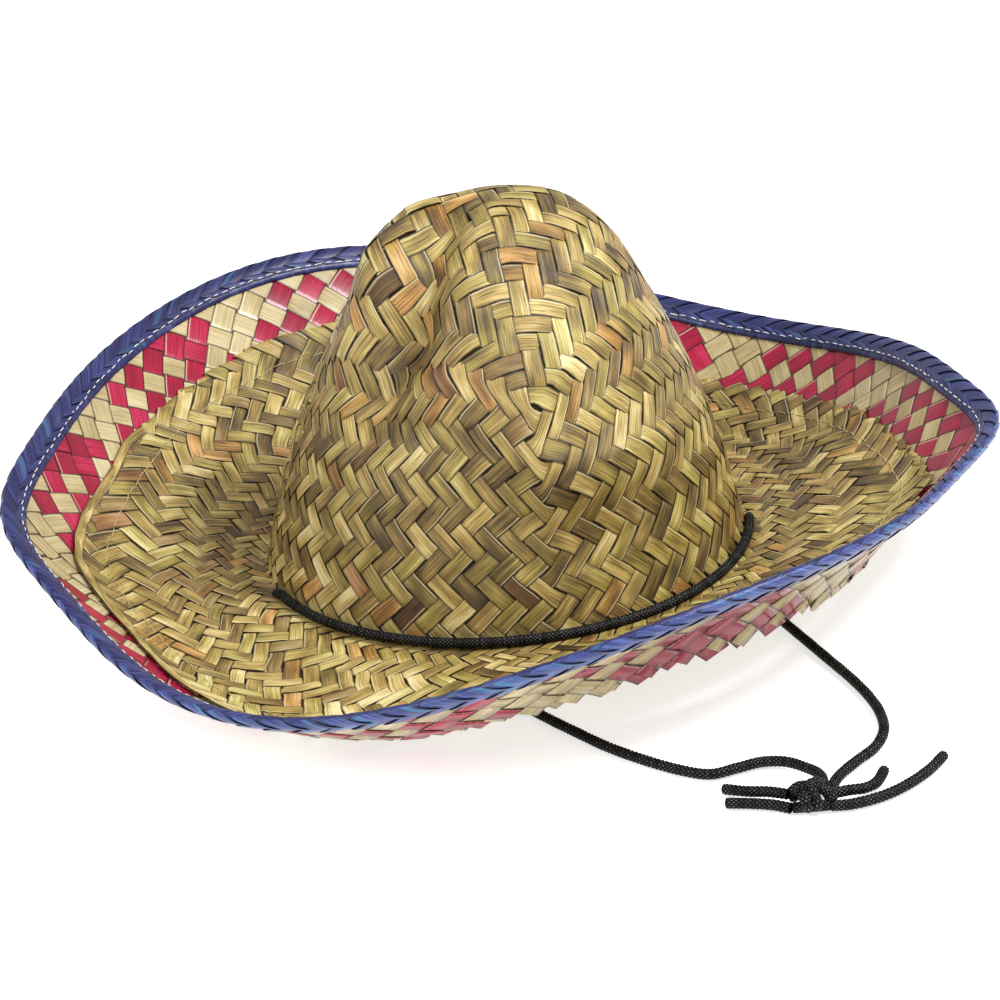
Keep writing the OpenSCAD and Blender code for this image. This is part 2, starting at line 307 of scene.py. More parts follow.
# ---- surfaces, from the CAD nodes
TURNS = 180  # directions in the surface tables
ANGLES = np.arange(TURNS) * TAU / TURNS
STATIONS = 96  # directions in the CAD brim
STRAW_END, BAND_START = 0.745, 0.63  # shares of the brim's width
STRAW_T, BAND_T = 1.6, 1.3  # thickness of the straw and of the band
BRIM_WIDTH = 103  # from the crown's base to the rim, on average
CROWN_COLUMNS = 220  # columns of the straw's table from the crown's top to its base
APEX = 3  # columns before these, past the top, for look-ups across it
STRAW_COLUMNS = 90  # columns of the brim's table that the straw's table reaches
EDGE = 99  # the brim's column up to which the CAD band gives its face


def node_tree(name):
    """A CAD node as a tree that rays can be cast at."""
    mesh = frame["nodes"][name].data
    return BVHTree.FromPolygons([v.co for v in mesh.vertices], [tuple(p.vertices) for p in mesh.polygons])


def rim_radii():
    """The rim's radius in each direction, from the binding's outer edge."""
    mesh = frame["nodes"]["edge_binding"].data
    flat = np.array([v.co[:2] for v in mesh.vertices]) / MM - CENTRE[:2]
    station = np.round(np.arctan2(flat[:, 1], flat[:, 0]) / TAU * STATIONS).astype(int) % STATIONS
    reach = np.zeros(STATIONS + 1)
    np.maximum.at(reach, station, np.hypot(*flat.T))
    reach[-1] = reach[0]
    reach = np.interp(ANGLES / TAU * STATIONS, np.arange(STATIONS + 1), reach)
    return BASE_R + (reach - BASE_R) / 1.006


def heights(name, radii):
    """The height of a node's top face at each direction and radius."""
    tree, down = node_tree(name), Vector((0, 0, -1))
    z = np.empty(radii.shape)
    for i, a in enumerate(ANGLES):
        for j, r in enumerate(radii[i]):
            hit = tree.ray_cast(Vector((CENTRE[0] + r * math.cos(a), CENTRE[1] + r * math.sin(a),
                                        400)) * MM, down)[0]
            z[i, j] = np.nan if hit is None else hit.z / MM
        missed = np.isnan(z[i])
        z[i, missed] = np.interp(np.flatnonzero(missed), np.flatnonzero(~missed), z[i, ~missed])
    return z


def upright(z, radii):
    """The upright share of the normal all over a table of heights."""
    outwards = np.gradient(z, axis=1) / np.gradient(radii, axis=1)
    around = (np.roll(z, -1, 0) - np.roll(z, 1, 0)) / (2 * radii * TAU / TURNS)
    return 1 / np.sqrt(1 + outwards ** 2 + around ** 2)


def soften_round(table, times):
    """Evens out a table from one direction to the next."""
    for _ in range(times):
        table = (np.roll(table, 1, 0) + 2 * table + np.roll(table, -1, 0)) / 4
    return table


def normals(points):
    """The outward normal all over a table of points."""
    around = np.roll(points, -1, 0) - np.roll(points, 1, 0)
    return unit(np.cross(np.gradient(points, axis=1), around))


def cubic_weights(f):
    """Shares of four values in a row, at a place between the middle two."""
    return [((2 - f) * f - 1) * f / 2, ((3 * f - 5) * f * f + 2) / 2,
            ((4 - 3 * f) * f + 1) * f / 2, (f - 1) * f * f / 2]


def look_up(table, angle, column):
    """Smooth look-up in a table that goes all the way round in its first index."""
    row = np.asarray(angle) / TAU * TURNS
    i = np.floor(row).astype(int)
    j = np.clip(np.floor(column).astype(int), 1, table.shape[1] - 3)
    wi, wj = cubic_weights(row - i), cubic_weights(column - j)
    return sum((wi[a] * wj[b])[..., None] * table[(i + a - 1) % TURNS, j + b - 1]
               for a in range(4) for b in range(4))


def ring_points(radii, z):
    """Points at each direction, from tables of radii and heights."""
    return np.stack([CENTRE[0] + radii * np.cos(ANGLES)[:, None],
                     CENTRE[1] + radii * np.sin(ANGLES)[:, None], z], axis=-1)


def brim_table():
    """Points of the face between straw and band, in columns of 1/100 of the brim's width."""
    share = np.arange(EDGE + 4) / 100
    radii = BASE_R + (rim_radii()[:, None] - BASE_R) * share
    straw, band = slice(0, 74), slice(64, EDGE)
    z_straw, z_band = heights("brim", radii[:, straw]), heights("check_band", radii[:, band])
    z = np.empty(radii.shape)
    z[:, :70] = (z_straw - STRAW_T / upright(z_straw, radii[:, straw]))[:, :70]
    z[:, 70:EDGE] = (z_band + 0.05 / upright(z_band, radii[:, band]))[:, 6:]
    for j in range(EDGE, EDGE + 4):
        z[:, j] = 2 * z[:, j - 1] - z[:, j - 2]
    return ring_points(radii, soften_round(blur(z, 2, axis=1), 2))


def crown_table():
    """Points of the crown's outer face, from the top down, in each direction."""
    middle = 36  # height from which the rays' directions spread
    tree, inside = node_tree("crown"), Vector((CENTRE[0], CENTRE[1], middle)) * MM
    lifts = np.radians(np.linspace(90, -15, 150))
    points = np.empty((TURNS, len(lifts), 3))
    for i, a in enumerate(ANGLES):
        for j, e in enumerate(lifts):
            way = Vector((math.cos(a) * math.cos(e), math.sin(a) * math.cos(e), math.sin(e)))
            hit = tree.ray_cast(inside + way * 0.3, -way)[0]
            points[i, j] = points[i, j - 1] if hit is None else np.array(hit) / MM
    return points


def straw_table(brim):
    """The middle of the straw: crown from the top down, then brim, and each wall's length."""
    outer = soften_round(crown_table(), 1)
    mid = outer - STRAW_T / 2 * normals(outer)
    mid[:, 0] = outer[:, 0] - [0, 0, STRAW_T / 2]
    flat = brim + STRAW_T / 2 * normals(brim)
    columns = [None] * TURNS
    length = np.empty(TURNS)
    for i, a in enumerate(ANGLES):
        foot = np.array([*(CENTRE[:2] + (BASE_R + 0.8) * np.array([math.cos(a), math.sin(a)])),
                         flat[i, 2, 2]])
        wall = np.vstack([mid[i], foot])
        far = distances(wall)
        length[i] = far[-1]
        down = sampled(wall, far, np.linspace(0, far[-1], CROWN_COLUMNS + 1))
        first = foot + (flat[i, 3] - foot) * np.array([[1 / 3], [2 / 3]])
        columns[i] = np.vstack([down, first, flat[i, 3:STRAW_COLUMNS]])
    table = np.array(columns)
    soft = blur(table, 9, axis=1)
    near = np.exp(-((np.arange(table.shape[1]) - CROWN_COLUMNS) / 8) ** 2)[None, :, None]
    table = soften_round(table * (1 - near) + soft * near, 1)
    table[:, 0] = table[:, 0].mean(axis=0)
    opposite = np.roll(table, TURNS // 2, axis=0)[:, APEX:0:-1]
    return np.concatenate([opposite, table], axis=1), length


def straw_normals(table):
    """The straw's normals, which all agree at the middle of the crown's top."""
    n = normals(table)
    n[:, :APEX + 1] = unit(n[:, APEX + 4].mean(axis=0))
    return n


BRIM = brim_table()
BRIM_N = normals(BRIM)
STRAW, WALL = straw_table(BRIM)
STRAW_N = straw_normals(STRAW)


def brim_at(angle, share, lift):
    """Points and normals at a share of the brim's width, above the face under the straw."""
    n = unit(look_up(BRIM_N, angle, share * 100))
    return look_up(BRIM, angle, share * 100) + np.asarray(lift)[..., None] * n, n


def straw_at(angle, column):
    """Points and normals of the middle of the straw."""
    return look_up(STRAW, angle, column), unit(look_up(STRAW_N, angle, column))


def ring_value(values, angle):
    """A value in any direction, from one value for each direction of the tables."""
    return np.interp(np.asarray(angle) % TAU, np.append(ANGLES, TAU), np.append(values, values[0]))


# ---- how the straw is plaited
PER_SIDE = 15  # strips of each family through a quarter of the crown's top
STRIPS = 4 * PER_SIDE  # strips of each family down the side of the crown
SIDE_ROWS = 21  # crossings from the top's corner to the base
TOP_REACH = 110  # from the middle of the top to the corner at the front
PARTS = np.array([0, 0.36, 0.46, 0.54, 0.64])  # where each crossing has points
ROW_STEP = math.pi / STRIPS
BRIM_STRIPS = 92  # strips of each family in the brim
BRIM_STEP = math.pi / BRIM_STRIPS
BRIM_ROWS = 32  # crossings in the brim, more than reach the straw's edge
NARROWEST, WIDEST = 4, 11  # limits of a strip's width before the gaps
CUT_LENGTH = 9  # how far in from a strip's slanted end the slant begins


def top_reach(angle, row):
    """Distance from the middle of the top to a row, in a direction."""
    share = np.clip(row / PER_SIDE, 0, 1) ** 2
    corner = 1 / (1 + 0.571 * share)
    square = np.abs(np.cos(angle)) + np.abs(np.sin(angle))
    return row * TOP_REACH / PER_SIDE / (1 + corner * (square - 1))


def top_angle(u, v):
    """Direction of a lattice point of the top: true near the middle, even by rows at the edge."""
    row = np.abs(u) + np.abs(v)
    quarter = np.where(v >= 0, np.where(u >= 0, 0, 1), np.where(u < 0, 2, 3))
    part = np.where(quarter % 2 == 0, np.abs(v), np.abs(u)) / np.maximum(row, 1e-6)
    even = (quarter + part) * math.pi / 2
    true = np.arctan2(v, u) % TAU
    share = np.clip(row / PER_SIDE, 0, 1) ** 2
    return true + share * (even - true)


def top_place(u, v):
    """Direction and table column of a lattice point of the crown's top."""
    angle, row = top_angle(u, v), np.abs(u) + np.abs(v)
    return angle, APEX + CROWN_COLUMNS * top_reach(angle, row) / ring_value(WALL, angle)


SPREAD_STEPS = 160
SPREAD_MAX, BAND_SPREAD = 1.1, 0.5  # how far the tables reach for the straw and for the band


def spread_table(points, columns, reach):
    """The column at each direction and even spread, counted from the first column.

    The spread is the logarithm of the radius of a flat disc on which the brim keeps its shape."""
    step = np.linalg.norm(np.diff(points, axis=1), axis=2)
    radius = np.linalg.norm(points[..., :2] - CENTRE[:2], axis=2)
    spread = np.zeros(radius.shape)
    spread[:, 1:] = np.cumsum(step / (radius[:, 1:] + radius[:, :-1]) * 2, axis=1)
    even = np.linspace(0, reach, SPREAD_STEPS + 1)
    return np.array([np.interp(even, row, columns) for row in soften_round(spread, 8)])[..., None]


SPREAD_COLUMN = spread_table(BRIM[:, :STRAW_COLUMNS], np.arange(STRAW_COLUMNS), SPREAD_MAX)
BAND_COLUMN = spread_table(BRIM[:, EDGE:54:-1], np.arange(EDGE, 54, -1), BAND_SPREAD)


def side_place(angle, row):
    """Direction and column of a point of the crown's side, whose rows start as wide as the top's."""
    edge, inner = (top_reach(angle, np.full(np.shape(angle), PER_SIDE - k)) for k in (0.0, 1.0))
    wall = ring_value(WALL, angle)
    part = (row - PER_SIDE) / SIDE_ROWS
    extra = 0.14 * np.clip(0.9 * (edge - inner) * SIDE_ROWS / (wall - edge) - 1, -0.3, 1.2)
    share = (part + extra * (1 - np.exp(-part / 0.14))) / (1 + extra * (1 - math.exp(-1 / 0.14)))
    return angle, APEX + (edge + (wall - edge) * share) / wall * CROWN_COLUMNS


def brim_place(angle, row):
    """Direction and column of a point of the brim's plait, which sways a little."""
    spread = row * BRIM_STEP
    sway = BRIM_STEP * (0.6 * np.sin(5 * angle + 7 * spread) + 0.22 * np.sin(11 * angle - 13 * spread))
    lean = BRIM_STEP * (0.6 * np.sin(4 * angle - 9 * spread + 2)
                        + 0.22 * np.sin(13 * angle + 11 * spread)) * np.clip(row / 3, 0, 1)
    even = np.clip(spread + lean, 0, SPREAD_MAX) / SPREAD_MAX * SPREAD_STEPS
    angle = angle + sway
    return angle, APEX + CROWN_COLUMNS + look_up(SPREAD_COLUMN, angle, even)[..., 0]


def wrapped(x):
    """An angle brought between minus and plus half a turn."""
    return (x + math.pi) % TAU - math.pi


def swell(angle, degrees, width):
    """1 in one direction and less to both sides of it, over a width in degrees."""
    return np.exp(-(wrapped(angle - math.radians(degrees)) / math.radians(width)) ** 2)


def straw_edge(angle):
    """The share of the brim's width where the straw ends, nearly at the binding at the front left."""
    return STRAW_END + 0.04 * swell(angle, -132, 34)


def over(row, family_a):
    """+1 where a strip lies over the other family at a crossing in that row, and -1 under."""
    return np.where((((np.asarray(row) - 1) % 4) < 2) == family_a, 1, -1)


def wave(at, signs):
    """Height of a strip, -1 to 1, at places counted in crossings, from its sign at each."""
    k = np.clip(np.floor(at + 1e-9).astype(int), 0, len(signs) - 1)
    k2 = np.minimum(k + 1, len(signs) - 1)
    f = at - k
    a, b = signs[k], signs[k2]
    bulge = np.where(a == b, 0.08 * np.sin(np.pi * np.clip(f, 0, 1)) * (a > 0), 0)
    return a + (b - a) * smooth_step((f - 0.37) / 0.26) + bulge


# ---- strips
RIBS = 7  # points across the top of a strip
TOP_C, LOW_C = np.linspace(-1, 1, RIBS), np.array([-1, -1, 1, 1])  # from one side to the other
STRIP_C = np.append(TOP_C, LOW_C)


def drift(count, at, spread):
    """A value that wanders from crossing to crossing, at places counted in crossings."""
    knots = rng.normal(0, spread, count + 2)
    return np.interp(at, np.arange(count + 2), knots)


def strip_mesh(points, face_way, sides, width, lift, thick, at, ridge, shear):
    """Points across a strip at each place along it: the ribbed top, then the plain underside.

    The shear slants the strip's cut end, by how far its outer side is moved along it."""
    ahead = unit(np.gradient(points, axis=0))
    across = unit(np.cross(face_way, ahead))
    across *= np.sign((across * sides).sum(axis=1, keepdims=True) + 1e-9)
    up = unit(np.cross(ahead, across))
    up *= np.sign((up * face_way).sum(axis=1, keepdims=True))
    ribs = rng.normal(0, ridge, RIBS)[None] + np.stack(
        [drift(int(at.max()) + 2, at, ridge * 0.7) for _ in range(RIBS)], axis=1)
    ribs[:, [0, -1]] *= 0.3
    top = lift[:, None] + thick[:, None] / 2 + 0.09 * (1 - TOP_C ** 2) - 0.06 + ribs
    low = lift[:, None] + thick[:, None] / 2 * np.array([0.6, -1, -1, 0.6])

    def rows(c, height):
        return (points[:, None] + (width[:, None] / 2 * c)[..., None] * across[:, None]
                + height[..., None] * up[:, None] + (shear[:, None] * c)[..., None] * ahead[:, None])

    return np.concatenate([rows(TOP_C, top), rows(LOW_C, low)], axis=1)


def strip_faces(rings):
    """Quads of a strip's top and of its underside, which share no points."""
    quads = grid_faces(rings, RIBS + 4).reshape(rings - 1, RIBS + 3, 4)
    return np.delete(quads, RIBS - 1, axis=1).reshape(-1, 4)


def add_strip(bundle, rings, far, strip, dye, tint):
    """Adds a strip to a bundle, from its rows of points, its distances and its other marks."""
    n, per = rings.shape[:2]
    bundle.add(rings.reshape(-1, 3), strip_faces(n), along=np.repeat(far, per),
               across=np.tile(STRIP_C, n), strip=strip, dye=dye,
               tint=np.repeat(np.broadcast_to(tint, n), per))


def tints(at, signs):
    """A value for each float, the stretch of strip between two dives."""
    dives = np.append(0, np.cumsum(np.diff(signs) != 0))
    k = np.clip(np.floor(at + 1e-9).astype(int), 0, len(signs) - 1)
    k2 = np.minimum(k + 1, len(signs) - 1)
    upper = np.where((signs[k] > 0) | (at - k < 0.05), k, k2)
    return rng.random(dives[-1] + 1)[dives[upper]]


def lay_strip(bundle, points, face_way, sides, signs, at, dye=0.0,
              rise=0.40, thick=0.42, fill=0.965, ridge=0.04, loose=0.18, tip=(0, 0), slant=0.0):
    """Adds a strip along points; signs say at each crossing whether it lies over or under."""
    strip, start = rng.random(), rng.random() * 900  # its number, and where its streaks start
    far = distances(points)
    ahead = unit(np.gradient(points, axis=0))
    square = np.cross(face_way, ahead)
    wide = np.abs((sides * unit(square)).sum(axis=1))
    count = int(at.max()) + 2
    width = np.clip(blur(wide, 2), NARROWEST, WIDEST) * fill * (1 + drift(count, at, 0.025))
    lift = rise * wave(at, signs) + drift(count, at, 0.045)
    depth = np.full(len(points), thick)
    for end in range(2):
        if tip[end]:
            near = np.clip(1 - (far if end == 0 else far[-1] - far) / tip[end], 0, 1)
            depth *= 1 - 0.6 * near
            lift -= 0.3 * near
    shear = -slant * width / 2 * np.clip(1 - (far[-1] - far) / CUT_LENGTH, 0, 1)
    points = points + drift(count, at, loose)[:, None] * unit(square)
    rings = strip_mesh(points, face_way, sides, width, lift, depth, at, ridge, shear)
    add_strip(bundle, rings, far + start, strip, dye, tints(at, signs))


def sample_places(first, last):
    """Places along a strip, counted in crossings, closer together where it dives."""
    whole = np.arange(math.floor(first), math.ceil(last) + 1)
    at = (whole[:, None] + PARTS).ravel()
    return at[(at >= first - 1e-9) & (at <= last + 1e-9)]


def crown_strip(bundle, j, along_u):
    """One strip over the crown's top and down both sides; it runs along u, and its place is v."""
    v = j + 0.5
    shorter = int(abs(v))  # rows lost at each end, because the top is a square
    crossings = 2 * (PER_SIDE - shorter)
    last = 2 * SIDE_ROWS + crossings - 1
    cut_in, cut_out = SIDE_ROWS, SIDE_ROWS + crossings - 1  # where it comes onto the top
    at = sample_places(0, last)
    on_top = (at >= cut_in) & (at <= cut_out)
    angle, column = np.zeros(len(at)), np.zeros(len(at))
    beside = [np.zeros((2, len(at))), np.zeros((2, len(at)))]
    u = shorter - PER_SIDE + (at - cut_in) + 0.5

    def on_lattice(u, v):
        return top_place(u, v) if along_u else top_place(v, u)

    def family_a(u):        # which family of the side a strip belongs to at this end
        return ((u > 0) == (v > 0)) == along_u

    angle[on_top], column[on_top] = on_lattice(u[on_top], np.full(on_top.sum(), v))
    for k, d in enumerate((-0.25, 0.25)):
        beside[k][:, on_top] = on_lattice(u[on_top], np.full(on_top.sum(), v + d))
    for u_end, part in ((shorter - PER_SIDE + 0.5, at < cut_in),
                        (PER_SIDE - shorter - 0.5, at > cut_out)):
        lean = -1 if family_a(u_end) else 1
        turn = 1 if (u_end > 0) == along_u else -1
        row = PER_SIDE + np.maximum(cut_in - at, at - cut_out)[part]
        way = on_lattice(np.array(u_end), np.array(v))[0] + lean * (row - PER_SIDE) * ROW_STEP
        angle[part], column[part] = side_place(way % TAU, row)
        for k, d in enumerate((-0.25, 0.25)):
            beside[k][:, part] = side_place((way + turn * d * ROW_STEP) % TAU, row - turn * lean * d)
    crossing = np.arange(last + 1)
    u = shorter - PER_SIDE + np.clip(crossing, cut_in, cut_out) - cut_in + 0.5
    row = np.abs(u) + abs(v) + np.maximum(np.maximum(cut_in - crossing, crossing - cut_out), 0)
    signs = over(np.round(row).astype(int), family_a(u))
    points, face_way = straw_at(angle, column)
    low, high = straw_at(*beside[0])[0], straw_at(*beside[1])[0]
    lay_strip(bundle, blur(points, 3), unit(blur(face_way, 3)), 2 * (high - low), signs, at)


def make_crown(material):
    """The crown's strips: those that cross the top from side to side, and from front to back."""
    for along_u, name in ((True, "crown_strips_across"), (False, "crown_strips_lengthwise")):
        bundle = Bundle()
        for j in range(-PER_SIDE, PER_SIDE):
            crown_strip(bundle, j, along_u)
        hand_over(bundle.build(name, material), "straw", "crown")


def strip_sides(place, angle, row, lean, step):
    """From one side of a strip to the other, in a plait whose points a place function gives."""
    low, high = (place(angle - d * lean * step, row + d)[0] for d in (-0.25, 0.25))
    return 2 * (high - low)


def brim_strips(name, is_a, first, last, material):
    """Some of the brim's strips of one family, from the crown's base to the straw's edge."""
    lean = -1 if is_a else 1
    bundle = Bundle()
    for k in range(first, last):
        at = sample_places(0, BRIM_ROWS)
        way = TAU * (k + 0.5) / BRIM_STRIPS + lean * at * BRIM_STEP
        angle, column = brim_place(way, at)
        limit = APEX + CROWN_COLUMNS + 100 * (straw_edge(angle) + rng.normal(0, 0.006))
        keep = np.maximum.accumulate(column) < limit
        at, way = at[keep], way[keep]
        sides = strip_sides(lambda a, row: straw_at(*brim_place(a, row)), way, at, lean, BRIM_STEP)
        points, face_way = straw_at(angle[keep], column[keep])
        right = abs(wrapped(angle[keep][-1] - 0.1)) < 0.8  # where the ends make a ragged edge
        lay_strip(bundle, blur(points, 1), face_way, sides, over(np.arange(BRIM_ROWS + 4), is_a), at,
                  loose=0.3, tip=(2, 1.5), slant=0.45 if right else 0.92)
    hand_over(bundle.build(name, material), "straw", "brim")


def make_brim(material):
    """The brim's strips: two families, each in a left and a right half."""
    half = BRIM_STRIPS // 2
    for letter, is_a in (("a", True), ("b", False)):
        brim_strips(f"brim_strips_{letter}_left", is_a, half // 2, half // 2 + half, material)
        brim_strips(f"brim_strips_{letter}_right", is_a, half // 2 - half, half // 2, material)


def make_selvage(material):
    """Long strips laid along the straw's edge, over the ends of the plait."""
    bundle = Bundle()
    for first, last, inside, width in ((2.3, 3.6, 0.012, 3.4), (3.3, 4.6, 0.008, 3.6),
                                       (4.3, 5.3, 0.011, 3.4), (2.6, 4.1, 0.003, 2.3),
                                       (3.8, 5.0, 0.002, 2.3)):
        angle = np.arange(first, last, 0.016)
        at = np.arange(len(angle)) / 3.0
        count = int(at.max()) + 2
        wander = np.interp(angle, np.linspace(first, last, 9), rng.normal(0, 0.006, 9))
        fade = smooth_step((angle - first) / 0.2) * smooth_step((last - angle) / 0.2)
        lift = STRAW_T * (0.35 + 0.5 * fade) + drift(count, at, 0.06)
        points, face_way = brim_at(angle, straw_edge(angle) - inside + wander, lift)
        sides = np.cross(face_way, unit(np.gradient(points, axis=0))) * width
        lay_strip(bundle, points, face_way, sides, np.ones(count + 2, int), at, rise=0.0,
                  thick=0.3, ridge=0.06, loose=0.3, tip=(6, 6))
    return hand_over(bundle.build("straw_selvage", material), "straw")


def ring_sheet(name, grid, material, slot):
    """A thin sheet all the way round, over a grid of points."""
    faces = grid_faces(*grid.shape[:2], ring=True)
    return hand_over(add_mesh(name, grid.reshape(-1, 3), faces, material), slot)


def make_gap_shade_sheet(material):
    """A thin dark sheet in the middle of the straw, which closes the gaps between strips: painted shade
    seen through them.
    """
    first, last = APEX, APEX + CROWN_COLUMNS + int(100 * STRAW_END) - 3
    return ring_sheet("straw_gap_shade_sheet", STRAW[:, np.append(np.arange(first, last, 2), last)],
                      material, "straw")


# ---- check band
BAND_STRIPS = 74
BAND_STEP = math.pi / BAND_STRIPS
BAND_LAST = 40  # the number of the band's row at its hidden outer edge


def band_share(angle, row):
    """The share of the brim's width at a row of the band."""
    even = np.clip((BAND_LAST - row) * BAND_STEP / BAND_SPREAD, 0, 1) * SPREAD_STEPS
    return look_up(BAND_COLUMN, angle, even)[..., 0] / 100


def band_drop(angle, share):
    """How far the band hangs below the brim along its inner edge, most at the front right."""
    inside = share - BAND_START
    return (0.9 * np.clip(1 - inside / 0.05, 0, 1) ** 2
            + 8.0 * swell(angle, -72, 42) * np.clip(1 - inside / 0.17, 0, 1) ** 1.4)


def band_place(angle, row):
    """Points and normals of the middle of the band."""
    def point(angle, row):
        share = band_share(angle, row)
        return brim_at(angle, share, -BAND_T / 2 - band_drop(angle, share))[0]

    outwards = point(angle, row + 0.3) - point(angle, row - 0.3)
    around = point(angle + 0.01, row) - point(angle - 0.01, row)
    return point(angle, row), unit(np.cross(outwards, around))


def band_dyes(is_a):
    """Which strips of the band are dyed red."""
    runs = ([(5, 1), (2, 0), (4, 1), (3, 0), (6, 1), (2, 0)] if is_a else
            [(7, 0), (1, 1), (5, 0), (2, 1), (9, 0), (2, 1)])
    dyes = []
    while len(dyes) < BAND_STRIPS:
        for count, dye in runs:
            dyes += [dye] * count
    return dyes[:BAND_STRIPS]


def make_band(material):
    """The check band: a plain weave of two families, some strips red and some left natural."""
    for is_a in (True, False):
        lean = -1 if is_a else 1
        bundle = Bundle()
        for k, dye in enumerate(band_dyes(is_a)):
            at = sample_places(BAND_LAST - 13, BAND_LAST - 0.6)
            angle = TAU * (k + 0.5) / BAND_STRIPS + lean * at * BAND_STEP
            keep = band_share(angle, at) > BAND_START + rng.normal(0.006, 0.009)
            at, angle = at[keep], angle[keep]
            signs = np.where((np.arange(BAND_LAST + 3) % 2 == 0) == is_a, 1, -1)
            lay_strip(bundle, *band_place(angle, at),
                      strip_sides(band_place, angle, at, lean, BAND_STEP), signs, at, dye,
                      rise=0.2, thick=0.3, fill=0.98, ridge=0.02, loose=0.1, tip=(3, 0))
        name = "band_strips_a" if is_a else "band_strips_b"
        hand_over(bundle.build(name, material), "palm", "check_band")


def brim_sheet(name, first, last, lift, material, slot):
    """A thin sheet along the brim, at a lift that depends on the direction and the share."""
    angle, share = np.meshgrid(ANGLES, np.linspace(first, last, 12), indexing="ij")
    return ring_sheet(name, brim_at(angle, share, lift(angle, share))[0], material, slot)


# ---- edge binding
LEAVES = 102
WRAP = np.array([[11, 0.2], [10.5, 0.85], [9, 1.15], [6, 1.25], [3, 1.2], [1.3, 0.95], [0.2, 0.3],
                 [-0.4, -0.6], [-0.2, -1.5], [0.8, -2.2], [2.5, -2.6], [5, -2.75], [7.5, -2.7],
                 [9, -2.5], [9.5, -1.9]])  # how far inside the rim, and the lift
TIERS = ((0, 3.9, 0.02, -0.05), (2.5, 6.4, 0.8, 0.30), (5.6, 12.8, -1.0, 0.26),
         (11.9, 16.8, 0.9, 0.26), (15.6, 24.0, -0.8, 0.05))  # from, to, slant, lift
RIM_SPEED = np.linalg.norm(BRIM[:, 100] - BRIM[:, 90], axis=1) / 0.1


def from_rim(angle, inside):
    """The share of the brim's width at a distance inside the rim."""
    return 1 - inside / ring_value(RIM_SPEED, angle)


WRAP_FAR = np.linspace(0, distances(WRAP)[-1], 121)
WRAP_PATH = blur(sampled(WRAP, distances(WRAP), WRAP_FAR), 12)


def wrap_at(angle, far):
    """Points and normals of the binding's face, at a distance along it from its inner edge."""
    def point(angle, far):
        inside, lift = (np.interp(far, WRAP_FAR, WRAP_PATH[:, k]) for k in (0, 1))
        return brim_at(angle, from_rim(angle, inside), lift)[0]

    onwards = point(angle, far + 0.25) - point(angle, far - 0.25)
    around = point(angle + 0.004, far) - point(angle - 0.004, far)
    return point(angle, far), unit(np.cross(onwards, around))


def leaf(centre, first, last, slant, base, pitch):
    """Rings of points of one leaf of the binding, from its inner end to its outer end."""
    part = np.linspace(-0.5, 0.5, 15)[:, None]
    tilt = 0.42 * math.copysign(1, slant) if abs(slant) > 0.1 else 0.04
    droop = 0.3 * (2 * np.abs(part)) ** 4 * (abs(slant) > 0.1)
    ribs = rng.normal(0, 0.03, (1, RIBS))

    def points(c, lift):
        angle = centre + (slant * part + 0.58 * c) * pitch
        far = np.broadcast_to((first + last) / 2 + (last - first) * part, angle.shape)
        at, out = wrap_at(angle, far)
        return at + (lift + base - droop + tilt * c)[..., None] * out

    return np.concatenate([points(TOP_C[None], 0.26 * (1 - TOP_C ** 2) + 0.04 + ribs),
                           points(LOW_C[None], np.array([[0.05, -0.35, -0.35, 0.05]]))], axis=1)


def make_binding(material):
    """A flat plait folded over the rim: tiers of slanting leaves, each leaf lapping the next."""
    bundle = Bundle()
    pitch = TAU / LEAVES
    for k in range(LEAVES):
        for tier, (first, last, slant, lift) in enumerate(TIERS):
            rings = leaf((k + 0.5 + rng.normal(0, 0.03)) * pitch, first, last, slant, lift, pitch)
            far = np.linspace(first, last, len(rings)) + rng.random() * 900
            # the tier number goes in the mark that holds the band's dye; it picks the tiers under the rim
            # that get painted light
            add_strip(bundle, rings, far, rng.random(), tier, rng.random())
    return hand_over(bundle.build("binding_folds", material), "binding", "edge_binding")


# ---- stitches
def stitch_line(name, node, slot, material, share, lift, length, space, radius, wander):
    """Short stitches round the brim, each rising from the surface and going back into it.

    The share of the brim's width where they lie is given as a function of the direction."""
    ring, _ = brim_at(ANGLES, share(ANGLES), np.full(TURNS, lift))
    total = np.linalg.norm(np.roll(ring, -1, 0) - ring, axis=1).sum()
    count = int(total / (length + space))
    pitch = TAU / count
    t = np.linspace(-0.5, 0.5, 7)  # along a stitch
    sides = 6
    bundle = Bundle()
    for k in range(count):
        angle = pitch * (k + 0.5 + t * length / (length + space))
        off = (rng.normal(0, wander) + t * rng.normal(0, wander)) / BRIM_WIDTH
        rise = lift + radius * 0.4 - 0.35 * (2 * np.abs(t)) ** 3 + 0.15 * np.cos(np.pi * t)
        line, out = brim_at(angle, share(angle) + off, rise)
        side = np.cross(out, unit(np.gradient(line, axis=0)))
        lines = [line + radius * (math.cos(phi) * side + 0.8 * math.sin(phi) * out)
                 for phi in np.arange(sides) * TAU / sides]
        bundle.add(np.vstack(lines), grid_faces(sides, len(t), ring=True)[:, ::-1])
    return hand_over(bundle.build(name, material), slot, node)


